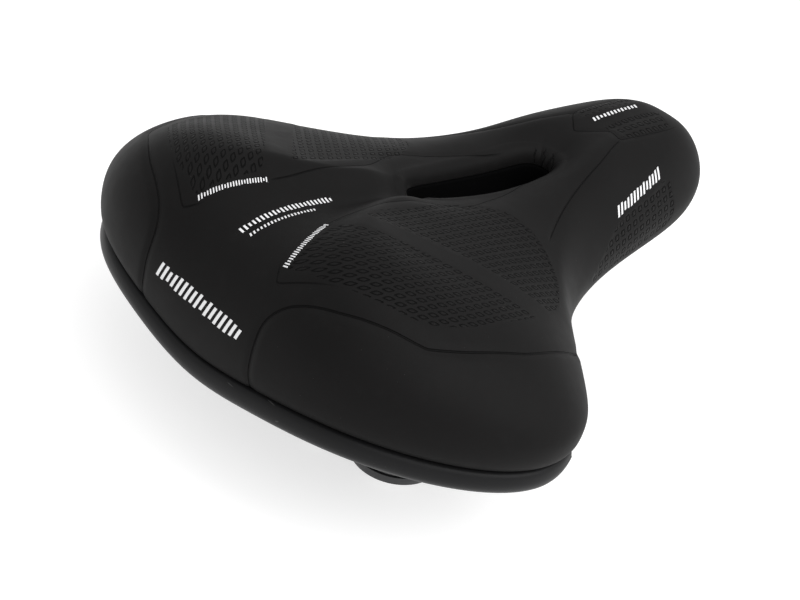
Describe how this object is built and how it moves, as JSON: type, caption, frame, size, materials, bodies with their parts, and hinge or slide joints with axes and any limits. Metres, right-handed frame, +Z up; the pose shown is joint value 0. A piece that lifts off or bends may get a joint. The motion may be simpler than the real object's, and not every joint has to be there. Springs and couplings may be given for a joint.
{
  "type": "bicycle saddle",
  "caption": "Wide padded comfort saddle with a short nose, an open centre slot and a rear edge guard, on bent steel rails with ribbed rubber springs that let the back sink under load.",
  "frame": {"origin": "midway between the two rails at the middle of their straight clamping length, at the height of the rails' centre line", "axes": "+Y towards the nose along the rails, +X to the rider's right, +Z up out of the padded top"},
  "size_m": [0.2184, 0.2693, 0.1],
  "materials": {
    "skin": "matte soft-touch moulded skin, near black",
    "foam": "open moulded foam",
    "gel": "slow soft foam",
    "shell": "moulded black plastic, fine texture",
    "guard": "satin moulded black plastic",
    "liner": "matt black plastic",
    "rail_steel": "bright plated steel rod",
    "plate_steel": "black coated pressed steel",
    "fastener": "zinc-plated steel",
    "cup": "black nylon",
    "spring_rubber": "black ribbed rubber",
    "socket": "black glass-filled nylon"
  },
  "bodies": {
    "rail_frame": {"rail": "rail_steel", "rear_yoke": "plate_steel", "rail_strap_left": "plate_steel", "rail_strap_right": "plate_steel", "strap_rivets": "fastener", "lower_cup_left": "cup", "lower_cup_right": "cup", "rubber_spring_left": "spring_rubber", "rubber_spring_right": "spring_rubber"},
    "seat": {"cover": "skin", "foam_pad": "foam", "soft_insert_left": "gel", "soft_insert_right": "gel", "base_shell": "shell", "rear_guard": "guard", "guard_screws": "fastener", "slot_liner": "liner", "liner_screws": "fastener", "edge_staples": "fastener", "upper_cup_left": "cup", "upper_cup_right": "cup", "shell_post_left": "shell", "shell_post_right": "shell", "spring_bolts": "fastener", "spring_washers": "fastener", "nose_socket": "socket", "nose_clip": "socket", "nose_screws": "fastener"}
  },
  "joints": [
    {"name": "rear_springing", "type": "hinge", "parent": "rail_frame", "child": "seat", "pos_m": [0, 0.116, 0.033], "axis": [1, 0, 0], "range_deg": [0, 2.5], "stiffness_Nm_per_rad": 1500, "springref_deg": -0.29, "deforming": ["rubber_spring_left", "rubber_spring_right"]}
  ]
}
